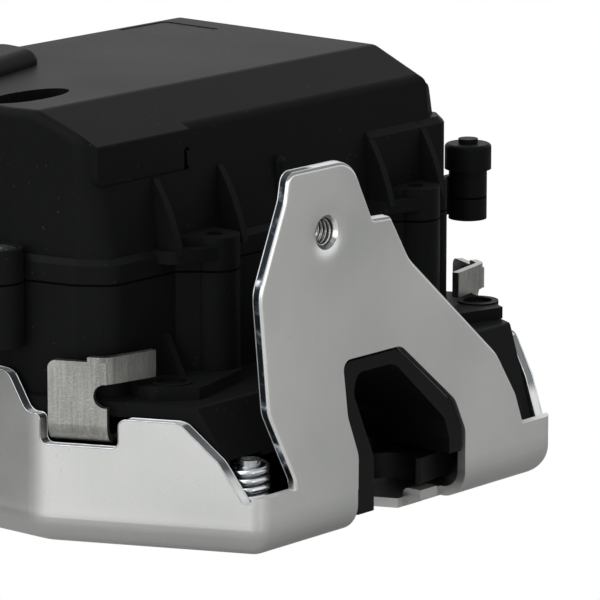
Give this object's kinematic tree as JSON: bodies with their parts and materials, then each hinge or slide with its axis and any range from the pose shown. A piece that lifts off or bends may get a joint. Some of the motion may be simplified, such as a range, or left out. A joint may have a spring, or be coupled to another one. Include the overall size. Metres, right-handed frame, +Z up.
{
  "type": "tailgate lock actuator",
  "caption": "Tailgate lock with a pressed steel pan, claw and pawl, and a plastic gear housing above whose worm drive lifts the pawl.",
  "frame": {"origin": "middle of the pan's underside", "axes": "-Y out through the flange, where the striker comes in; +Z up through the gear housing"},
  "size_m": [0.1379, 0.118, 0.0894],
  "materials": {
    "zinc_steel": "bright zinc plating on pressed sheet, drawing marks, paler cut edges",
    "lock_steel": "fine-blanked steel, oiled",
    "pin_steel": "turned steel",
    "spring_steel": "drawn spring wire",
    "screw_steel": "zinc plated screws",
    "motor_steel": "plated motor can",
    "claw_plastic": "tough overmoulded plastic",
    "black_plastic": "glass filled, fine moulded texture",
    "liner_plastic": "smooth low friction plastic",
    "gear_plastic": "natural acetal",
    "buffer_rubber": "soft stop",
    "seal_rubber": "sealing cord",
    "bush_bronze": "sintered bronze",
    "contact_brass": "tinned and bare brass"
  },
  "bodies": {
    "root": {"base_pan": "zinc_steel", "bridge_plate": "zinc_steel", "claw_pin": "pin_steel", "pawl_pin": "pin_steel", "claw_spring": "spring_steel", "pawl_spring": "spring_steel", "corner_pin": "pin_steel", "corner_spring": "spring_steel", "mechanism_cover": "black_plastic", "mouth_liner": "liner_plastic", "striker_buffer": "buffer_rubber", "lower_housing": "black_plastic", "top_cover": "black_plastic", "housing_seal": "seal_rubber", "cover_screws": "screw_steel", "housing_screws": "screw_steel", "lower_bush": "bush_bronze", "upper_bush": "bush_bronze", "motor_case": "motor_steel", "motor_end_cap": "gear_plastic", "motor_terminals": "contact_brass", "worm_bearing": "black_plastic", "side_post": "black_plastic", "post_cap": "black_plastic", "connector_socket": "black_plastic", "connector_pins": "contact_brass", "contact_carrier": "black_plastic", "contact_strips": "contact_brass", "position_switch": "black_plastic"},
    "claw": {"claw_core": "lock_steel", "claw_jacket": "claw_plastic"},
    "pawl": {"pawl": "lock_steel", "pawl_follower": "pin_steel"},
    "output": {"worm_wheel": "gear_plastic", "output_shaft": "pin_steel", "output_cam": "lock_steel"},
    "worm_shaft": {"motor_shaft": "pin_steel", "worm": "contact_brass"},
    "plunger": {"switch_plunger": "gear_plastic"}
  },
  "joints": [
    {"name": "claw_turn", "type": "hinge", "parent": "root", "child": "claw", "pos_m": [0.022, -0.025, 0.007], "axis": [0, 0, -1], "range_deg": [0, 49]},
    {"name": "wheel_turn", "type": "hinge", "parent": "root", "child": "output", "pos_m": [0, 0.022, 0.062], "axis": [0, 0, 1], "range_deg": [0, 60]},
    {"name": "pawl_turn", "type": "hinge", "parent": "root", "child": "pawl", "pos_m": [-0.01, -0.004, 0.007], "axis": [0, 0, -1], "range_deg": [0, 13.2]},
    {"name": "worm_spin", "type": "hinge", "parent": "root", "child": "worm_shaft", "pos_m": [0, -0.00599, 0.062], "axis": [1, 0, 0], "range_deg": [-2280, 0]},
    {"name": "switch_slide", "type": "slide", "parent": "root", "child": "plunger", "axis": [1, 0, 0], "range_m": [0, 0.0008]}
  ],
  "couplings": [
    {"joint": "pawl_turn", "follows": "wheel_turn", "ratio": 0.22},
    {"joint": "worm_spin", "follows": "wheel_turn", "ratio": -38},
    {"joint": "switch_slide", "follows": "claw_turn", "m_per_rad": 0.00093544}
  ]
}
